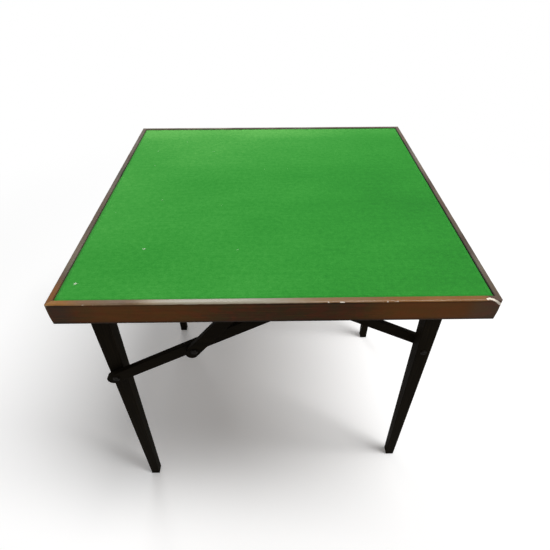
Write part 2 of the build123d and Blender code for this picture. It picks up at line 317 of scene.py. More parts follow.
@dataclass(frozen=True)
class WalnutStain(StainedWood):
    """The rim: beech stained to walnut and varnished.

    It is brown with redder and greener mottles, grey-brown where it has faded, tan where it
    is rubbed, cream where it is chipped, and glossy only where hands have polished it. It
    carries painted shade under the top edge and along the inner edge, and a painted sheen on
    part of the front rail's top.
    """

    stains: tuple[str, str, str] = ("331E0D", "4C2E14", "663F1A")
    red: str = "5F2D14"
    olive: str = "423516"
    aged_warm: str = "7A4816"
    aged_grey: str = "5A5048"
    worn: str = "86643F"
    worn_warm: str = "94682E"
    worn_grey_and_sheen: str = "8F8874"
    bare: str = "F6EBDA"
    grime: str = "1A120A"
    roughness: float = 0.5
    specular: float = 0.06
    mottle: Figure = Figure(15 * MM, stretch=1.8, octaves=3.0, weight=0.6)
    red_range: Span = (0.50, 0.62)
    olive_range: Span = (0.50, 0.38)
    fray: Figure = Figure(1.4 * MM, stretch=5.0, octaves=4.0, weight=0.4)
    rub_range: Span = (0.25, 1.1)
    chip_range: Span = (0.5, 0.95)

    def surface(self, tree: Tree) -> dict[str, Feed]:
        """Shift the stain with age, soiling, painted shade and a painted sheen, and show bare wood
        where it is rubbed or chipped.

        Args:
            tree: the material's tree.

        Returns:
            The shader's inputs.
        """
        fed = super().surface(tree)
        rub, chip, grime, warm, fade = (
            add_node(tree, "ShaderNodeAttribute", attribute_name=mark.value).outputs["Fac"] for mark in Mark
        )
        fray = (self.fray.drawn(tree, self.grain), self.fray.weight)
        mottle = [(self.mottle.drawn(tree, self.grain), 1.0)]
        layers = [
            (risen(tree, mottle, *self.red_range, self.mottle.weight), self.red),
            (risen(tree, mottle, *self.olive_range, self.mottle.weight), self.olive),
            (warm, self.aged_warm),
            # On the front rail's top the greyer, bleached colours also stand for a painted sheen.
            (fade, self.aged_grey),
            (
                risen(tree, [(rub, 1.0), fray], *self.rub_range),
                layered(tree, self.worn, [(warm, self.worn_warm), (fade, self.worn_grey_and_sheen)]),
            ),
            (risen(tree, [(chip, 1.0), fray], *self.chip_range), self.bare),
            # Soiling, with painted shade under the top edge and along the inner edge, and darker towards
            # the foot.
            (grime, self.grime),
        ]
        return fed | {"Base Color": layered(tree, fed["Base Color"], layers), "Coat Weight": rub}


@dataclass(frozen=True)
class Ebonised(StainedWood):
    """Legs and bars: hardwood stained nearly black, whose brown shows faintly in the streaks."""

    stains: tuple[str, str, str] = ("120F0B", "1A1610", "241E15")
    roughness: float = 0.6
    specular: float = 0.01
    varnish: float = 0.0
    bump: float = 0.2


@dataclass(frozen=True)
class StainedPine(StainedWood):
    """Timbers under the top: pine brushed with thin brown stain and never varnished, so dull."""

    stains: tuple[str, str, str] = ("4A2F1A", "6B4A2C", "8A6239")
    streaks: Figure = Figure(4 * MM, stretch=34.0, octaves=6.0, weight=0.6)
    roughness: float = 0.7
    specular: float = 0.25
    varnish: float = 0.0


@dataclass(frozen=True)
class BirchPlywood(StainedWood):
    """The bare panel under the baize: pale and dull, with broad soft figure."""

    stains: tuple[str, str, str] = ("8C6A42", "A8814F", "BD9763")
    streaks: Figure = Figure(9 * MM, stretch=14.0, octaves=6.0, weight=0.6)
    roughness: float = 0.75
    specular: float = 0.2
    varnish: float = 0.0


@dataclass(frozen=True)
class Baize(Finish):
    """Green baize: woven wool, felted and brushed, so that it is matt and no thread shows.

    A wool fibre is about 0.03 mm wide. Here the nap is as coarse as it needs to be to show.
    """

    name: str = "baize_green_wool"
    shades: Stops = ((0.44, "277D2B"), (0.56, "308E31"), (0.69, "419C3E"), (0.86, "66B858"))
    fibres: Figure = Figure(0.9 * MM, stretch=2.6, octaves=3.0, weight=0.31)
    mottle: Figure = Figure(9 * MM, octaves=3.0, weight=0.20)
    clouds: Figure = Figure(160 * MM, stretch=2.0, weight=0.24)
    strokes: Figure = Figure(2.4 * MM, stretch=60.0, weight=0.09)
    painted_light_and_tone_weight: float = 0.3
    relief: float = 0.35 * MM

    def surface(self, tree: Tree) -> dict[str, Feed]:
        """Work out the green from nap, mottle, brush strokes and the painted light and shade, and the nap's
        relief.

        Args:
            tree: the material's tree.

        Returns:
            The shader's inputs.
        """
        # This is the cloth's painted light and shade, with its own uneven tone, stored on its points.
        painted_light_and_tone = add_node(tree, "ShaderNodeAttribute", attribute_name=Mark.FADE.value).outputs["Fac"]
        figures = (self.fibres, self.mottle, self.clouds, self.strokes)
        parts = [(painted_light_and_tone, self.painted_light_and_tone_weight), *((figure.drawn(tree), figure.weight) for figure in figures)]
        tone = weighted_sum(tree, parts)
        height = weighted_sum(tree, [(parts[1][0], 1.0), (parts[2][0], 0.5)])
        relief = {"Height": height, "Strength": 0.55, "Distance": self.relief}
        return {
            "Base Color": add_node(tree, "ShaderNodeValToRGB", {0: tone}, self.shades),
            "Roughness": 0.95,
            "Specular IOR Level": 0.1,
            "Sheen Weight": 0.12,
            "Sheen Roughness": 0.6,
            "Sheen Tint": "8FD08A",
            "Normal": add_node(tree, "ShaderNodeBump", relief),
        }


@dataclass(frozen=True)
class Fluff(Finish):
    """Loose wool fibre or lint: one soft colour that varies a little from fibre to fibre."""

    shade: str
    other: str
    tufts: Figure = Figure(6 * MM)

    def surface(self, tree: Tree) -> dict[str, Feed]:
        """Work out a soft colour between the two shades.

        Args:
            tree: the material's tree.

        Returns:
            The shader's inputs.
        """
        stops = ((0.35, self.shade), (0.65, self.other))
        shade = add_node(tree, "ShaderNodeValToRGB", {0: self.tufts.drawn(tree)}, stops)
        return {"Base Color": shade, "Roughness": 0.9, "Specular IOR Level": 0.1}


NAP_WOOL = Fluff("nap_green_wool", "2F8637", "52A950")
LINT_COTTON = Fluff("lint_pale_cotton", "C3DDB8", "F2F6E9")


@dataclass(frozen=True)
class Steel(Finish):
    """Turned or pressed steel: fine scratches and a dull patina.

    Real scratches are finer, and here they are as coarse as they need to be to show.
    """

    clean: str
    dull: str
    roughness: float = 0.42
    patina: Figure = Figure(3 * MM, octaves=4.0)
    scratches: Figure = Figure(0.5 * MM, stretch=9.0)
    relief: float = 0.05 * MM

    def surface(self, tree: Tree) -> dict[str, Feed]:
        """Work out colour and gloss from the patina, and relief from the scratches.

        Args:
            tree: the material's tree.

        Returns:
            The shader's inputs.
        """
        patina = self.patina.drawn(tree)
        stops = ((0.38, self.dull), (0.6, self.clean))
        rough = {"Value": patina, "From Min": 0.3, "From Max": 0.7}
        rough |= {"To Min": self.roughness + 0.15, "To Max": self.roughness - 0.1}
        relief = {"Height": self.scratches.drawn(tree), "Strength": 0.15, "Distance": self.relief}
        return {
            "Base Color": add_node(tree, "ShaderNodeValToRGB", {0: patina}, stops),
            "Metallic": 1.0,
            "Roughness": add_node(tree, "ShaderNodeMapRange", rough),
            "Normal": add_node(tree, "ShaderNodeBump", relief),
        }


def finished_mesh(name: str, points: Sequence[Sequence[float]], faces: Sequence[Sequence[int]]) -> Piece:
    """Make an object at the origin from points and faces.

    Args:
        name: the piece's name.
        points: the mesh's points.
        faces: each face's points, by their numbers.

    Returns:
        The linked object.
    """
    mesh = bpy.data.meshes.new(name)
    mesh.from_pydata(points, [], faces)
    made = bpy.data.objects.new(name, mesh)
    bpy.context.scene.collection.objects.link(made)
    return made


def store(piece: Piece, name: str, values: Sequence[float]) -> None:
    """Store a number for each point of a piece, in the order of its points."""
    piece.data.attributes.new(name, "FLOAT", "POINT").data.foreach_set("value", values)


def dress(piece: Piece, material: Material, body: str) -> None:
    """Give a piece its material and body, and report it.

    Args:
        piece: the finished object.
        material: its finish.
        body: the CAD body that it rides on.
    """
    if not piece.data.materials:
        piece.data.materials.append(material)
    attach(piece, body)
    log.info("%s rides on %s with %d faces", piece.name, body, len(piece.data.polygons))


def finish_node(name: str, material: Material) -> None:
    """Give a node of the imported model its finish.

    Args:
        name: the node's name.
        material: its finish.
    """
    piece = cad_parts[name]
    piece.data.materials.clear()
    piece.data.materials.append(material)
    log.info("%s has the finish %s", name, material.name)


def clamp(value: float) -> float:
    """Hold a value between zero and one."""
    return max(0.0, min(1.0, value))


def ease(low: float, high: float, value: float) -> float:
    """Rise smoothly from 0 at low to 1 at high, and give the height of the rise at a value."""
    share = clamp((value - low) / (high - low))
    return share * share * (3 - 2 * share)


def ripple(place: Vector, size: float, seed: float) -> float:
    """Smooth noise from -1 to 1, with waves of a real size, in a pattern that the seed picks."""
    return noise.noise(place / size + Vector((seed, seed * 0.37, -seed)))


@dataclass(frozen=True)
class Chip:
    """A stretch of the rim's top outer edge where the finish has flaked off, in millimetres."""

    start: float
    end: float
    strength: float

    def at(self, along: float) -> float:
        """How bare the edge is at a place along the rail, which is in metres."""
        inside = min(along / MM - self.start, self.end - along / MM)
        return self.strength * ease(0, 0.3 * (self.end - self.start), inside)


@dataclass(frozen=True)
class Patch:
    """A stretch of a rail, in millimetres, with more or less of one mark."""

    mark: Mark
    centre: float
    reach: float
    strength: float

    def at(self, along: float) -> float:
        """The patch's strength at a place along the rail, which is in metres."""
        return self.strength * (1 - ease(0.3 * self.reach, self.reach, abs(along / MM - self.centre)))


@dataclass(frozen=True)
class RailWear:
    """What use has done to one rail, along its length and over its top outer edge, with painted
    shade under the top edge and along the inner edge.

    A place is given by its distance along the rail from the middle, and by its distance over
    the edge, which is negative on the top and positive down the face. A pair of lengths says
    where a mark starts to come in or to go, and where it has done so.
    """

    seed: float
    rubbed: float
    inner_edge_shade: float = 0.2
    outer_grime: float = 0.0
    chips: tuple[Chip, ...] = ()
    top_patches: tuple[Patch, ...] = ()
    face_patches: tuple[Patch, ...] = ()
    split: tuple[Vector, ...] = ()
    split_width: float = 4.0 * MM
    wave: float = 38 * MM
    wave_share: float = 0.1
    fray: float = 9 * MM
    fray_depth: float = 0.5 * MM
    flake: float = 2.6 * MM
    flake_mean: float = 0.8
    flake_swing: float = 0.4
    top_end: Span = (0.4 * MM, 2.0 * MM)
    edge_line: float = 0.3 * MM
    edge_end: Span = (0.5 * MM, 2.2 * MM)
    edge_rub: float = 0.12
    face_rub_end: Span = (4 * MM, 8 * MM)
    under_edge_start: Span = (1.0 * MM, 2.2 * MM)
    under_edge_end: Span = (2.6 * MM, 5.0 * MM)
    under_edge_soil_and_shade: float = 0.6
    foot_end: Span = (2.0 * MM, 6.5 * MM)
    foot_darkening: float = 0.9
    inner_start: Span = (8.8 * MM, 9.6 * MM)

    def marks_at(self, along: float, over: float, height: float) -> dict[Mark, float]:
        """How strong each mark is at a place.

        Args:
            along: distance along the rail.
            over: distance over the edge.
            height: distance above the rail's foot.

        Returns:
            Each mark's strength, from 0 to 1.
        """
        spot = Vector((along, over, 0))
        wander = ripple(spot, self.wave, self.seed)
        top = 1 - ease(*self.top_end, over + self.fray_depth * ripple(spot, self.fray, self.seed + 1))
        edge = 1 - ease(*self.edge_end, abs(over - self.edge_line))
        flaky = self.flake_mean + self.flake_swing * ripple(spot, self.flake, self.seed + 4)
        marks = {mark: 0.0 for mark in Mark}
        for patch in self.top_patches:
            marks[patch.mark] += patch.at(along) * top
        for patch in self.face_patches:
            shown = 1 - ease(*self.face_rub_end, over) if patch.mark is Mark.RUB else 1.0
            marks[patch.mark] += patch.at(along) * (1 - top) * shown
        marks[Mark.RUB] += top * (self.rubbed + self.wave_share * wander)
        marks[Mark.RUB] += edge * self.edge_rub * (1 + wander)
        flaked = [chip.at(along) * edge * flaky for chip in self.chips]
        marks[Mark.CHIP] = max([self.split_at(spot), *flaked])
        # A dark line just under the rounded top edge: soiling and painted shade.
        under_edge = ease(*self.under_edge_start, over) * (1 - ease(*self.under_edge_end, over))
        # The face is darker towards the rail's foot.
        foot = 1 - ease(*self.foot_end, height)
        # Painted shade along the top's inner edge, beside the cloth.
        inner = self.inner_edge_shade * ease(*self.inner_start, -over)
        soiling_and_shade = max(self.under_edge_soil_and_shade * under_edge, self.foot_darkening * foot, inner, self.outer_grime * edge)
        # Soiling and painted shade are left off bare wood, and off the face where it is rubbed.
        wiped = max(marks[Mark.CHIP], marks[Mark.RUB] if over > self.top_end[1] else 0.0)
        marks[Mark.GRIME] += soiling_and_shade * (1 - wiped)
        return {mark: clamp(value) for mark, value in marks.items()}

    def split_at(self, spot: Vector) -> float:
        """How near a place lies to the pale edge of the split corner.

        Args:
            spot: distances along the rail and over the edge.

        Returns:
            1 on the split, and 0 well away from it.
        """
        nearest = 1.0
        for first, second in zip(self.split, self.split[1:]):
            step = second - first
            share = clamp((spot - first).dot(step) / step.length_squared)
            nearest = min(nearest, (spot - first - step * share).length)
        return 1 - ease(0.3 * self.split_width, 0.7 * self.split_width, nearest)


FRONT_WEAR = RailWear(
    seed=3.0,
    rubbed=0.72,
    chips=(
        Chip(78.5, 84.5, 0.8),
        Chip(96.5, 107.5, 1.0),
        Chip(161.5, 165.0, 0.6),
        Chip(168.0, 172.5, 0.85),
        Chip(176.5, 189.5, 0.6),
        Chip(-346.0, -326.0, 0.42),
        Chip(-291.0, -278.0, 0.52),
        Chip(-275.0, -268.0, 0.5),
    ),
    top_patches=(
        Patch(Mark.RUB, -320, 60, -0.1),
        # Round -80 mm the top is painted greyer and paler, a painted sheen where the back lamp's reflection
        # falls, and the extra rub there makes the varnish glossier as well.
        Patch(Mark.FADE, -80, 170, 1.0),
        Patch(Mark.RUB, -60, 170, 0.3),
        Patch(Mark.FADE, -265, 60, 0.5),
        Patch(Mark.RUB, -255, 80, -0.35),
        Patch(Mark.RUB, 338, 20, -0.5),
        Patch(Mark.FADE, 338, 20, 0.8),
        Patch(Mark.RUB, 250, 150, -0.25),
        Patch(Mark.WARM, 250, 130, 0.8),
        Patch(Mark.WARM, -320, 90, 1.0),
    ),
    face_patches=(
        # The rounded front-left corner is painted tan, as wear and as a painted highlight along its edge.
        Patch(Mark.RUB, -346, 7, 1.0),
        Patch(Mark.WARM, -346, 8, 0.6),
        Patch(Mark.FADE, -335, 36, 0.25),
        Patch(Mark.GRIME, -335, 40, 0.35),
        Patch(Mark.WARM, -205, 140, 0.35),
        Patch(Mark.GRIME, 50, 110, 0.3),
        Patch(Mark.WARM, 240, 125, 0.55),
        Patch(Mark.FADE, 325, 36, 0.25),
    ),
    split=tuple(
        Vector((along, over, 0.0)) * MM
        for along, over in ((321.5, -3.0), (325.0, -4.2), (330.0, -1.6), (336.0, 2.8), (341.5, 8.0))
    ),
)


SIDE_SEED = 40
SIDE_CHIPS = 5
SIDE_TONES = 12


def side_wear(side: Side) -> RailWear:
    """The wear of a rail that is not at the front: dulled to grey-brown, with a few small chips.

    Args:
        side: the rail's side, which picks the pattern.

    Returns:
        The rail's wear.
    """
    draw = random.Random(SIDE_SEED + side.value)
    starts = [draw.uniform(-300, 300) for _ in range(SIDE_CHIPS)]
    kinds = (Mark.FADE, Mark.RUB, Mark.GRIME, Mark.WARM)
    tones = []
    for _ in range(SIDE_TONES):
        kind, centre = draw.choice(kinds), draw.uniform(-320, 320)
        tones.append(Patch(kind, centre, draw.uniform(25, 90), draw.uniform(0.12, 0.32)))
    if side is Side.LEFT:
        tones += [Patch(Mark.WARM, 335, 70, 0.8), Patch(Mark.FADE, 335, 70, -0.6)]
    chips = [Chip(start, start + draw.uniform(4, 11), draw.uniform(0.4, 0.7)) for start in starts]
    return RailWear(
        seed=3.0 + 7.0 * side.value,
        rubbed=0.22,
        # The painted shade along the inner edge is darkest on the right rail.
        inner_edge_shade=0.9 if side is Side.RIGHT else 0.5,
        outer_grime=0.5,
        chips=tuple(chips),
        top_patches=(*tones, Patch(Mark.FADE, 0.0, 900, 0.7)),
        face_patches=(
            Patch(Mark.WARM, draw.uniform(-200, 200), 200, 0.25),
            Patch(Mark.FADE, draw.uniform(-250, 250), 120, 0.15),
            Patch(Mark.GRIME, draw.uniform(-300, 300), 120, 0.2),
        ),
    )


@dataclass
class Rim:
    """The four mitred rails round the top, with rubbed edges, chips and a split corner."""

    outer: float = 345.0 * MM
    wall: float = 15.0 * MM
    face_width: float = 11.0 * MM
    cant: float = 2.5 * MM
    rebate: float = 8.7 * MM
    outer_round: float = 3.0 * MM
    inner_round: float = 1.0 * MM
    foot_round: float = 1.5 * MM
    corner_radius: float = 5.0 * MM
    round_steps: int = 6
    face_step: float = 1.2 * MM
    worn_height: float = 12 * MM
    station: float = 1.5 * MM
    end_station: float = 0.7 * MM
    end_reach: float = 36.0 * MM
    wear_depth: float = 0.45 * MM
    wear_reach: Span = (1.5 * MM, 6 * MM)
    wear_way: Spot = (0.0, 0.75, -0.65)
    wave_share: float = 0.35
    nick_share: float = 0.65
    nick_size: float = 5 * MM
    chip_depth: float = 0.8 * MM
    mitre_start: float = 0.985
    top: float = field(init=False)
    base: float = field(init=False)

    def __post_init__(self) -> None:
        """Take the rim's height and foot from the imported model."""
        low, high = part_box("rim_front")
        self.top = high.z
        self.base = low.z

    def corners(self) -> list[tuple[float, float, float, int]]:
        """The section's corners: outward distance, height, rounding and arc steps.

        Returns:
            The corners in order round the section.
        """
        inner = self.outer - self.wall
        ledge = self.top - self.rebate
        lip = self.outer - self.face_width
        return [
            (self.outer, self.top, self.outer_round, self.round_steps),
            (lip, self.top, self.inner_round, 3),
            (lip, ledge, 0.0, 1),
            (inner, ledge, 0.0, 1),
            (inner, self.base, self.inner_round, 2),
            (self.outer - self.cant, self.base, self.foot_round, 3),
        ]

    def section(self) -> list[Span]:
        """The rim's section as a closed outline, with arcs at the rounded corners.

        Returns:
            Points of outward distance and height.
        """
        corners = self.corners()
        outline: list[Span] = []
        for index, (u, z, radius, steps) in enumerate(corners):
            here = Vector((u, z))
            before = Vector(corners[index - 1][:2])
            after = Vector(corners[(index + 1) % len(corners)][:2])
            if not radius:
                outline.append((u, z))
                continue
            back = (before - here).normalized()
            ahead = (after - here).normalized()
            half = back.angle(ahead) / 2
            centre = here + (back + ahead).normalized() * (radius / math.sin(half))
            start = here + back * (radius / math.tan(half)) - centre
            end = here + ahead * (radius / math.tan(half)) - centre
            for step in range(steps + 1):
                point = centre + start.slerp(end, step / steps) * radius
                outline.append((point.x, point.y))
        return self.filled(outline)

    def filled(self, outline: list[Span]) -> list[Span]:
        """Add points to the long faces of the section, closest near the worn edge.

        Args:
            outline: points of the section.

        Returns:
            The outline with short enough faces for the marks to shade off across them.
        """
        full: list[Span] = []
        for point, following in zip(outline, outline[1:] + outline[:1]):
            parts = max(1, round(math.dist(point, following) / self.face_step))
            for part in range(parts):
                u, z = (here + (ahead - here) * (part / parts) for here, ahead in zip(point, following))
                near = u > self.outer - self.face_width and z > self.top - self.worn_height
                if near or part % 3 == 0:
                    full.append((u, z))
        return full

    def stations(self) -> list[float]:
        """Places along a rail, closer together near the mitres, where the corner's marks need it.

        Returns:
            Shares of the half length, from -1 to 1.
        """
        shares = [0.0]
        while shares[-1] < 1:
            here = shares[-1] * self.outer
            step = self.station if here < self.outer - self.end_reach else self.end_station
            shares.append(min(1.0, (here + step) / self.outer))
        return [-share for share in shares[:0:-1]] + shares

    def rounded_plan(self, place: Vector) -> Vector:
        """Pull a point in to the rounded corner of the plan.

        Args:
            place: point of the front rail.

        Returns:
            The point, moved if it lay outside the rounding.
        """
        centre = self.outer - self.corner_radius
        over = Vector((abs(place.x) - centre, -place.y - centre))
        if over.x <= 0 or over.y <= 0 or over.length <= self.corner_radius:
            return place
        over = over.normalized() * self.corner_radius
        return Vector((math.copysign(centre + over.x, place.x), -centre - over.y, place.z))

    def worn_back(self, place: Vector, share: float, over: float, wear: RailWear, chip: float) -> Vector:
        """Sink a point of the front rail where its edge is rubbed or chipped away.

        Args:
            place: the point before any wear.
            share: place along the rail, from -1 to 1.
            over: distance over the top outer edge.
            wear: the rail's wear.
            chip: how deeply it is chipped there, from 0 to 1.

        Returns:
            The worn point.
        """
        near = 1 - ease(*self.wear_reach, abs(over))
        wander = 0.5 + 0.5 * ripple(Vector((place.x, 0, 0)), wear.wave, wear.seed)
        nick = max(0.0, ripple(Vector((place.x, place.z, 0)), self.nick_size, wear.seed + 2))
        worn = self.wear_depth * (self.wave_share * wander + self.nick_share * nick * nick)
        depth = near * (worn + chip * self.chip_depth)
        # The point goes inwards and down, and the mitres stay closed.
        return place + Vector(self.wear_way) * depth * (1 - ease(self.mitre_start, 1.0, abs(share)))

    def build_rail(self, side: Side, wear: RailWear) -> Piece:
        """Sweep one rail, mitre it, wear its edges and store its marks.

        Args:
            side: the rail's side of the table.
            wear: what use has done to it.

        Returns:
            The rail's object.
        """
        section, stations = self.section(), self.stations()
        count = len(section)
        marks: dict[Mark, list[float]] = {mark: [] for mark in Mark}
        points: list[Vector] = []
        for share in stations:
            for u, z in section:
                place = self.rounded_plan(Vector((share * u, -u, z)))
                over = (self.top - z) - (self.outer - u)
                found = wear.marks_at(place.x, over, z - self.base)
                for mark, values in marks.items():
                    values.append(found[mark])
                place = self.worn_back(place, share, over, wear, found[Mark.CHIP])
                for _ in range(side.value):
                    place = Vector((-place.y, place.x, place.z))
                points.append(place)
        # The points of each face go round it so that it points outwards.
        faces: list[Sequence[int]] = []
        for ring in range(0, len(points) - count, count):
            for index in range(count):
                near, ahead = ring + index, ring + (index + 1) % count
                faces.append((near, near + count, ahead + count, ahead))
        faces += [range(count), range(len(points) - count, len(points))[::-1]]
        rail = finished_mesh("rim_rail_" + side.name.lower(), points, faces)
        for mark, values in marks.items():
            store(rail, mark.value, values)
        for polygon in rail.data.polygons:
            polygon.use_smooth = len(polygon.vertices) == 4
        return rail

    def make(self) -> None:
        """Build and dress the four rails."""
        along_x = WalnutStain("rim_walnut_stain_along_x", Grain.X).build()
        along_y = WalnutStain("rim_walnut_stain_along_y", Grain.Y).build()
        for side in Side:
            rail = self.build_rail(side, FRONT_WEAR if side is Side.FRONT else side_wear(side))
            dress(rail, along_x if side in (Side.FRONT, Side.BACK) else along_y, TOP_BODY)
            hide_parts("rim_" + side.name.lower())


@dataclass(frozen=True)
class Fibres:
    """Short curled fibres, several times as thick as real wool or cotton so that they show."""

    name: str
    length: float
    radius: float
    seed: int
    finish: Fluff

    def strewn(self, squares: Sequence[tuple[float, float, float, int]], height: float) -> Piece:
        """Strew the fibres over level squares with a geometry tree.

        Args:
            squares: middle, half width and fibre count of each square.
            height: how high the squares lie.

        Returns:
            A plain mesh of all the fibres.
        """
        points = [(x + half * i, y + half * j, height) for x, y, half, _ in squares for i, j in SQUARE]
        host = finished_mesh(self.name, points, [range(n, n + 4) for n in range(0, len(points), 4)])
        store(host, "thick", [count / (4 * half * half) for _, _, half, count in squares for _ in SQUARE])
        values = {"Length": self.length, "Radius": self.radius, "Seed": self.seed}
        modifier = host.modifiers.new("fibres", "NODES")
        modifier.node_group = self.tree()
        for item in modifier.node_group.interface.items_tree:
            if item.in_out == "INPUT" and item.name in values:
                modifier[item.identifier] = values[item.name]
        ready = host.evaluated_get(bpy.context.evaluated_depsgraph_get())
        mesh = bpy.data.meshes.new_from_object(ready)
        host.modifiers.remove(modifier)
        host.data = mesh
        mesh.name = host.name
        return host

    def tree(self) -> Tree:
        """Build the geometry tree that lays the fibres on a surface.

        Returns:
            The tree, with inputs for length, radius and seed. How thickly the fibres lie comes
            from the surface's own "thick" attribute, in fibres to the square metre.
        """
        tree = bpy.data.node_groups.new("scattered_fibres", "GeometryNodeTree")
        sockets = {"Geometry": "Geometry", "Length": "Float", "Radius": "Float", "Seed": "Int"}
        for name, kind in sockets.items():
            tree.interface.new_socket(name, in_out="INPUT", socket_type="NodeSocket" + kind)
        tree.interface.new_socket("Geometry", in_out="OUTPUT", socket_type="NodeSocketGeometry")
        given = add_node(tree, "NodeGroupInput").outputs
        seed, radius = {"Seed": given["Seed"]}, given["Radius"]
        thick = add_node(tree, "GeometryNodeInputNamedAttribute", {"Name": "thick"}, data_type="FLOAT")
        spread = {"Mesh": given["Geometry"], "Density": thick} | seed
        points = add_node(tree, "GeometryNodeDistributePointsOnFaces", spread)
        half, back, bend = (
            add_node(tree, "ShaderNodeMath", {0: given["Length"], 1: share}, operation="MULTIPLY")
            for share in (0.5, -0.5, 0.3)
        )
        curve = {
            "Resolution": 4,
            "Start": add_node(tree, "ShaderNodeCombineXYZ", {"X": half}),
            "Middle": add_node(tree, "ShaderNodeCombineXYZ", {"Y": bend, "Z": radius}),
            "End": add_node(tree, "ShaderNodeCombineXYZ", {"X": back}),
        }
        line = add_node(tree, "GeometryNodeCurveQuadraticBezier", curve)
        ring = add_node(tree, "GeometryNodeCurvePrimitiveCircle", {"Resolution": 3, "Radius": radius})
        tube = {"Curve": line, "Profile Curve": ring, "Fill Caps": True}
        # Each fibre lies nearly flat, turned any way, at half to 1.4 times the length. The limits of
        # the sizes go by number, because the node has several of each name.
        turns = {"Min": (0.0, 0.0, 0.0), "Max": (0.12, 0.0, math.tau)} | seed
        sizes = {2: 0.5, 3: 1.4} | seed
        laid = {
            "Points": points,
            "Instance": add_node(tree, "GeometryNodeCurveToMesh", tube),
            "Rotation": add_node(tree, "FunctionNodeRandomValue", turns, data_type="FLOAT_VECTOR"),
            "Scale": add_node(tree, "FunctionNodeRandomValue", sizes, data_type="FLOAT"),
        }
        fibres = add_node(tree, "GeometryNodeInstanceOnPoints", laid)
        solid = add_node(tree, "GeometryNodeRealizeInstances", {"Geometry": fibres})
        paint = {"Geometry": solid, "Material": self.finish.build()}
        painted = add_node(tree, "GeometryNodeSetMaterial", paint)
        add_node(tree, "NodeGroupOutput", {"Geometry": painted})
        return tree


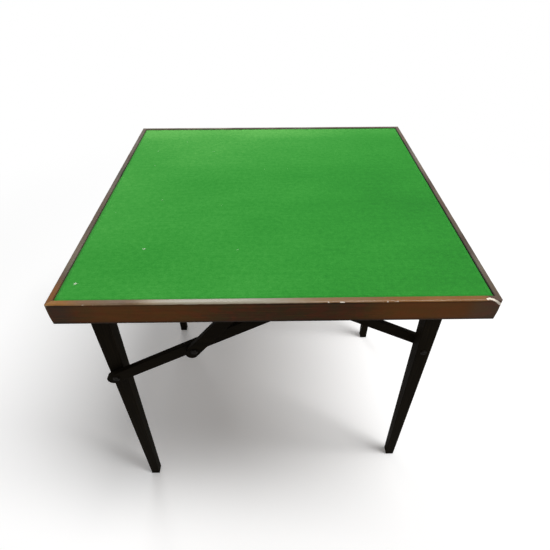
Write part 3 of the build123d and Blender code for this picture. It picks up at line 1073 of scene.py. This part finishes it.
@dataclass
class Cloth:
    """The baize on the top: a felted sheet with a slightly uneven surface, nap and lint.

    Each of the waves that make it uneven has its length, its share of the swell and its seed.
    """

    thickness: float = 1.2 * MM
    cells: int = 110
    swell: float = 0.12 * MM
    waves: tuple[Spot, ...] = ((90 * MM, 0.6, 2.0), (24 * MM, 0.4, 5.0))
    edge_wander: float = 0.35 * MM
    edge_wave: float = 8 * MM
    # The level of the cloth's tone, its painted light towards the back, the painted sheen along the back
    # edge and in a pool, the painted shade across and at the front, and the ripple of its own tone.
    painted_light_and_tone: float = 0.57
    painted_back_light: float = 0.15
    painted_back_edge_sheen: float = 0.42
    painted_sheen_pool: float = 0.2
    painted_shade_across: float = -0.22
    painted_front_shade: float = -0.06
    tone_ripple: float = 0.03
    nap: Fibres = Fibres("baize_nap", length=2.0 * MM, radius=0.07 * MM, seed=7, finish=NAP_WOOL)
    nap_count: int = 5200
    nap_margin: float = 4 * MM
    lint: Fibres = Fibres("baize_lint", length=4.2 * MM, radius=0.12 * MM, seed=12, finish=LINT_COTTON)
    lint_spots: tuple[tuple[float, float, int], ...] = (
        (-225.4 * MM, -203.2 * MM, 8),
        (-313.0 * MM, -293.4 * MM, 16),
        (-63.7 * MM, -209.9 * MM, 3),
    )
    lint_spot_half: float = 2.0 * MM
    stray_lint: int = 14
    stray_margin: float = 20 * MM
    low: Vector = field(init=False)
    high: Vector = field(init=False)

    def __post_init__(self) -> None:
        """Take the cloth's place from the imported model."""
        self.low, self.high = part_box("baize")

    def make(self) -> None:
        """Build and dress the sheet, its nap and the lint on it."""
        sheet = self.build_sheet()
        dress(sheet, Baize().build(), TOP_BODY)
        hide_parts("baize")
        flat = (self.high.x - self.low.x, self.high.y - self.low.y)
        middle = (self.low + self.high) / 2
        whole = [(middle.x, middle.y, flat[0] / 2 - self.nap_margin, self.nap_count)]
        draw = random.Random(self.lint.seed)
        far = self.high.x - self.stray_margin
        strays = [(draw.uniform(-far, far), draw.uniform(-far, far), 1) for _ in range(self.stray_lint)]
        spots = [(x, y, self.lint_spot_half, count) for x, y, count in (*self.lint_spots, *strays)]
        top = self.high.z - self.swell
        nap, lint = self.nap.strewn(whole, top), self.lint.strewn(spots, top)
        for fluff in (nap, lint):
            dress(fluff, fluff.data.materials[0], TOP_BODY)

    def build_sheet(self) -> Piece:
        """Make the sheet as a grid with a soft swell, a wandering edge and its real thickness.

        Returns:
            The sheet's object.
        """
        width, length = self.high.x - self.low.x, self.high.y - self.low.y
        cells, row = self.cells, self.cells + 1
        points = [
            self.cloth_point(self.low.x + width * i / cells, self.low.y + length * j / cells)
            for j in range(row)
            for i in range(row)
        ]
        firsts = [j * row + i for j in range(cells) for i in range(cells)]
        sheet = finished_mesh("baize_cloth", points, [(p, p + 1, p + row + 1, p + row) for p in firsts])
        # The cloth's points carry its painted light and shade.
        store(sheet, Mark.FADE.value, [self.painted_light_and_tone_at(vertex.co) for vertex in sheet.data.vertices])
        for polygon in sheet.data.polygons:
            polygon.use_smooth = True
        wall = sheet.modifiers.new("wall", "SOLIDIFY")
        wall.thickness = self.thickness - self.swell * 2
        wall.offset = -1
        return sheet

    def painted_light_and_tone_at(self, place: Vector) -> float:
        """The cloth's painted light and shade: paler along the back and in a pool near its middle as
        painted light and sheen, darker at the right and front as painted shade, with a ripple of its own
        tone.

        Args:
            place: point of the cloth.

        Returns:
            The share that the cloth's colours follow, about 0.4 where it is greenest and 1.2
            where it is palest.
        """
        half = self.high.x
        # Painted light, paler towards the back, and a painted sheen along the back edge.
        back = self.painted_back_light * ease(-0.4 * half, 0.95 * half, place.y)
        back += self.painted_back_edge_sheen * ease(half - 80 * MM, half + 8 * MM, place.y)
        # A painted sheen, a pale pool, lies round a point near the middle of the back.
        away = math.dist(place.xy, (0.0, 0.8 * half))
        back += self.painted_sheen_pool * (1 - ease(0, 0.75 * half, away))
        # Painted shade, darker to the right and towards the front; the last ripple is the cloth's own
        # uneven tone.
        across = self.painted_shade_across * place.x / half
        front = self.painted_front_shade * ease(0.2 * half, half, -place.y)
        return self.painted_light_and_tone + back + across + front + self.tone_ripple * ripple(place, 70 * MM, 6.0)

    def cloth_point(self, x: float, y: float) -> Vector:
        """A point of the cloth's upper face.

        Args:
            x: place across the table.
            y: place along the table.

        Returns:
            The point, a little uneven in height and at the edge.
        """
        place = Vector((x, y, 0))
        lift = self.swell * sum(share * ripple(place, size, seed) for size, share, seed in self.waves)
        inset = self.edge_wander * (0.5 + 0.5 * ripple(place, self.edge_wave, 9.0))
        x = max(self.low.x + inset, min(self.high.x - inset, x))
        y = max(self.low.y + inset, min(self.high.y - inset, y))
        return Vector((x, y, self.high.z - self.swell + lift))


@dataclass
class Woodwork:
    """The legs, struts and links, and the timbers under the top, in their stains."""

    corner_names: tuple[str, ...] = ("front_left", "back_left", "front_right", "back_right")

    def make(self) -> None:
        """Finish every wooden node that stays as packed."""
        legs = Ebonised("leg_ebonised_hardwood", Grain.Z).build()
        bars = Ebonised("bar_ebonised_hardwood", Grain.X).build()
        across = StainedPine("underframe_stained_pine_along_y", Grain.Y).build()
        along = StainedPine("underframe_stained_pine_along_x", Grain.X).build()
        at_corners = {"leg": legs, "strut": bars, "link": bars, "block": across, "cheek": along}
        for corner in self.corner_names:
            for kind, finish in at_corners.items():
                finish_node(f"{kind}_{corner}", finish)
        for side in ("front", "back"):
            finish_node("bearer_" + side, along)
            finish_node("inner_rail_" + side, along)
        finish_node("top_panel", BirchPlywood("panel_birch_plywood", Grain.X).build())


@dataclass
class Hardware:
    """Rivets, washers, bolts, nuts, screws and nails, by how their nodes' names start."""

    stained: tuple[str, ...] = ("strut_rivet", "strut_washer", "knee_rivet")
    plated: tuple[str, ...] = (
        "leg_bolt", "link_bolts", "link_spacers", "link_nuts", "block_screws", "rim_nails"
    )

    def make(self) -> None:
        """Finish every steel node."""
        # Stained with the bars, the rivets are nearly as dark, and only their domes catch light.
        rivet = Steel("rivet_stained_steel", "1E1B18", "0B0A08", roughness=0.6).build()
        # Zinc plate is a pale, slightly cloudy grey.
        zinc = Steel("fixing_zinc_plate", "A5A29B", "77736B").build()
        for starts, finish in ((self.stained, rivet), (self.plated, zinc)):
            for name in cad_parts:
                if name.startswith(starts):
                    finish_node(name, finish)


@dataclass(frozen=True)
class Softbox:
    """A rectangular lamp with soft light.

    Its size is its width level with the floor, and its length along the line to the table. Its
    power is in watts.
    """

    name: str
    place: Spot
    size: Span
    power: float
    aim: Spot = (0.0, 0.0, 0.5)

    def make(self) -> None:
        """Add the lamp to the scene, so that it faces its aim."""
        data = bpy.data.lights.new(self.name, "AREA")
        data.shape = "RECTANGLE"
        data.size, data.size_y = self.size
        data.energy = self.power
        lamp = bpy.data.objects.new(self.name, data)
        lamp.location = self.place
        lamp.rotation_euler = (Vector(self.aim) - Vector(self.place)).to_track_quat("-Z", "Y").to_euler()
        bpy.context.scene.collection.objects.link(lamp)


@dataclass
class Studio:
    """White floor, plain soft lamps and the camera at the photograph's angle."""

    floor_half: float = 30.0
    floor_lift: float = 0.12
    floor_fade: Span = (1.0, 2.2)
    camera_place: Spot = (-0.00557, -0.82117, 1.13649)
    camera_turn: Spot = (50.221, 0.102, -0.841)
    lens: float = 28.676
    sensor_width: float = 36.0
    world_level: float = 0.17
    lamps: tuple[Softbox, ...] = (
        Softbox("key_softbox", place=(2.5, -0.85, 7.0), size=(2.2, 4.8), power=442.0),
        Softbox("sheen_softbox", place=(-1.0, 3.2, 4.0), size=(1.6, 1.6), power=32.0),
    )

    def make(self) -> None:
        """Set up floor, world, lamps, camera and colour management."""
        self.make_floor()
        self.make_world()
        for lamp in self.lamps:
            lamp.make()
        self.make_camera()
        bpy.context.scene.view_settings.view_transform = "Standard"

    def make_floor(self) -> None:
        """Lay a large paper floor, white to the camera and pale grey to the lamps' bounced light.

        It keeps the table's shadow near the middle and is plain white further out.
        """
        points = [(self.floor_half * i, self.floor_half * j, 0) for i, j in SQUARE]
        floor = finished_mesh("studio_floor", points, [range(4)])
        material, tree = new_material("floor_white_paper")
        seen = self.seen_directly(tree)
        shade = layered(tree, "D8D8D8", [(seen, WHITE)])
        paper = {"Base Color": shade, "Roughness": 0.9, "Specular IOR Level": 0.0}
        glow = {"Color": WHITE, "Strength": weighted_sum(tree, [(seen, self.floor_lift)])}
        near = {
            0: add_node(tree, "ShaderNodeBsdfPrincipled", paper),
            1: add_node(tree, "ShaderNodeEmission", glow),
        }
        place = add_node(tree, "ShaderNodeTexCoord").outputs["Object"]
        away = add_node(tree, "ShaderNodeVectorMath", {0: place}, operation="LENGTH")
        surface = {
            0: weighted_sum(tree, [(risen(tree, [(away, 1.0)], *self.floor_fade), seen)]),
            1: add_node(tree, "ShaderNodeAddShader", near),
            2: add_node(tree, "ShaderNodeEmission", {"Color": WHITE, "Strength": 1.0}),
        }
        mixed = add_node(tree, "ShaderNodeMixShader", surface)
        add_node(tree, "ShaderNodeOutputMaterial", {"Surface": mixed})
        floor.data.materials.append(material)

    def seen_directly(self, tree: Tree) -> Feed:
        """One for rays from the camera and for what gloss and glass show, and zero for others.

        Args:
            tree: the material's or the world's tree.

        Returns:
            The one or zero.
        """
        rays = add_node(tree, "ShaderNodeLightPath").outputs
        seen: Feed = rays["Is Camera Ray"]
        for kind in ("Is Glossy Ray", "Is Transmission Ray"):
            seen = add_node(tree, "ShaderNodeMath", {0: seen, 1: rays[kind]}, operation="MAXIMUM")
        return seen

    def make_world(self) -> None:
        """Make a white surround that lights the table softly and looks white behind it."""
        world = bpy.data.worlds.new("studio_world")
        world.use_nodes = True
        tree = world.node_tree
        tree.nodes.clear()
        levels = {"Value": self.seen_directly(tree), "To Min": self.world_level, "To Max": 1.0}
        strength = add_node(tree, "ShaderNodeMapRange", levels)
        light = add_node(tree, "ShaderNodeBackground", {"Color": WHITE, "Strength": strength})
        add_node(tree, "ShaderNodeOutputWorld", {"Surface": light})
        bpy.context.scene.world = world

    def make_camera(self) -> None:
        """Add the camera that sees the table as the photograph does."""
        data = bpy.data.cameras.new("camera")
        data.lens = self.lens
        data.sensor_width = self.sensor_width
        camera = bpy.data.objects.new("camera", data)
        camera.location = self.camera_place
        camera.rotation_euler = [math.radians(angle) for angle in self.camera_turn]
        bpy.context.scene.collection.objects.link(camera)
        bpy.context.scene.camera = camera


def main() -> None:
    """Build and dress the table, then set up the studio."""
    logging.basicConfig(level=logging.INFO, format="%(name)s: %(message)s")
    for part in (Rim(), Cloth(), Woodwork(), Hardware(), Studio()):
        part.make()


if __name__ == "__main__":
    main()
